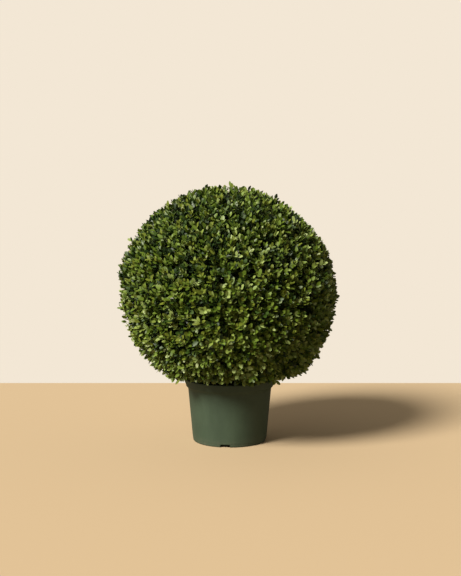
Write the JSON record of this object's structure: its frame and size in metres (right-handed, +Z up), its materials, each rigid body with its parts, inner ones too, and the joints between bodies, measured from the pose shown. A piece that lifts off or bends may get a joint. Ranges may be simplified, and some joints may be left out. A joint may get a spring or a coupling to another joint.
{
  "type": "box topiary ball in a nursery pot",
  "caption": "Clipped spherical box shrub with small glossy evergreen leaves on a short woody stem, growing in a tapered green plastic nursery pot with a flared rim and a notched foot.",
  "frame": {"origin": "on the ground plane under the middle of the ball, which is the centre of the bounding box's base", "axes": "+Z up along the stem, -Y towards the front that the reference view shows, +X to the right in that view"},
  "size_m": [0.5935, 0.5958, 0.6913],
  "materials": {
    "pot_plastic": "dark green moulded polypropylene, satin, slightly dusty",
    "compost": "dark brown crumbly potting compost",
    "bark": "grey-brown finely furrowed box bark",
    "foliage": "small glossy dark green box leaves"
  },
  "bodies": {
    "root": {"pot": "pot_plastic", "compost": "compost", "stem": "bark", "foliage_ball": "foliage"}
  },
  "joints": []
}
